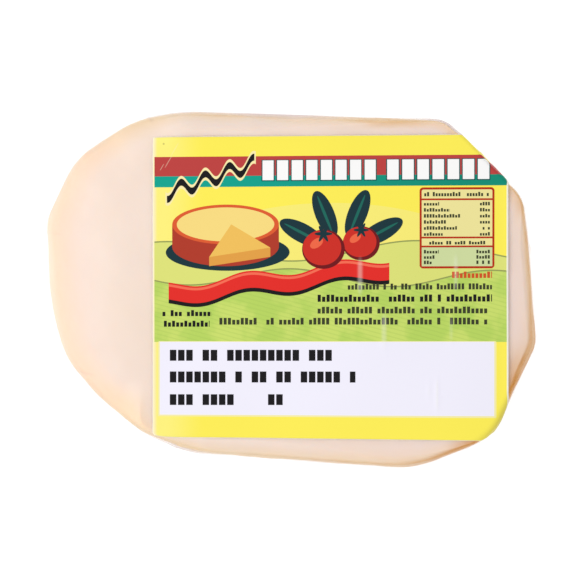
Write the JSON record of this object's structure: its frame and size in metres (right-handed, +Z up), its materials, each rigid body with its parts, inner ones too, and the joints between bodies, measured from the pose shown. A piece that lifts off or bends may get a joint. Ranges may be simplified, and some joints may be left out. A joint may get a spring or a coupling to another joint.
{
  "type": "smoked provoleta",
  "caption": "Half-kilo slab of smoked provoleta cheese in skin-tight clear vacuum film, with a printed paper label folded over its end corners.",
  "frame": {"origin": "under the middle of the slab, on the surface that it lies on", "axes": "+X along the slab's length, towards the end that the label folds over; +Y across it, towards the label's top edge; +Z up"},
  "size_m": [0.1402, 0.102, 0.0433],
  "materials": {
    "cheese": "pale cream cheese with a light amber smoked rind, smooth and slightly waxy",
    "film": "clear glossy vacuum film, drawn tight over the cheese",
    "label": "printed paper label with a slight sheen, mostly yellow with a green field and a white panel"
  },
  "bodies": {
    "root": {"pack": "cheese", "label": "label"}
  },
  "joints": []
}
